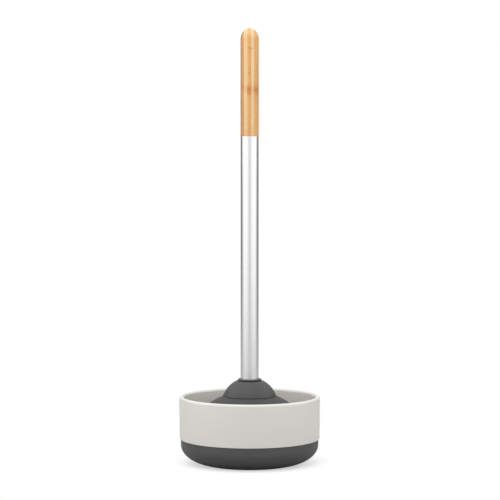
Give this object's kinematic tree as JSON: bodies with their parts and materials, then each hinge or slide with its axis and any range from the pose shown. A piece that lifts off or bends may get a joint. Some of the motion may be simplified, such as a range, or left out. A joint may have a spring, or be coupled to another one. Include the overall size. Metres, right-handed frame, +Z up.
{
  "type": "toilet plunger",
  "caption": "Toilet plunger with a bamboo grip, aluminium tube, dome cap and flanged rubber cup, standing in an open round storage tray.",
  "frame": {"origin": "centre of the tray boot's underside, on the floor", "axes": "+Z up along the axis of tray, cup and handle; -Y towards the viewer"},
  "size_m": [0.1874, 0.1874, 0.5776],
  "materials": {
    "bowl_plastic": "satin",
    "boot_rubber": "matte, fine moulded texture",
    "cup_rubber": "matte",
    "cap_plastic": "matte",
    "collar_plastic": "satin",
    "tube_aluminium": "satin anodised",
    "plug_nylon": "as moulded",
    "zinc_steel": "bright zinc plated",
    "stainless_steel": "turned",
    "bamboo": "oiled, laminated strips"
  },
  "bodies": {
    "holder": {"base_boot": "boot_rubber", "tray_bowl": "bowl_plastic"},
    "cup": {"rubber_cup": "cup_rubber", "cup_flange": "cup_rubber"},
    "stick": {"dome_cap": "cap_plastic", "neck_collar": "collar_plastic", "handle_tube": "tube_aluminium", "lower_plug": "plug_nylon", "lower_nut": "zinc_steel", "cup_washer": "stainless_steel", "cup_bolt": "stainless_steel", "upper_plug": "plug_nylon", "upper_nut": "zinc_steel", "grip_stud": "zinc_steel", "bamboo_grip": "bamboo"}
  },
  "joints": [
    {"name": "plunger_lift", "type": "slide", "parent": "holder", "child": "cup", "axis": [0, 0, 1], "range_m": [0, 0.13]},
    {"name": "cup_press", "type": "slide", "parent": "cup", "child": "stick", "axis": [0, 0, -1], "range_m": [0, 0.035], "stiffness_N_per_m": 1500, "springref_m": -0.003, "deforming": ["rubber_cup", "cup_flange"]}
  ]
}
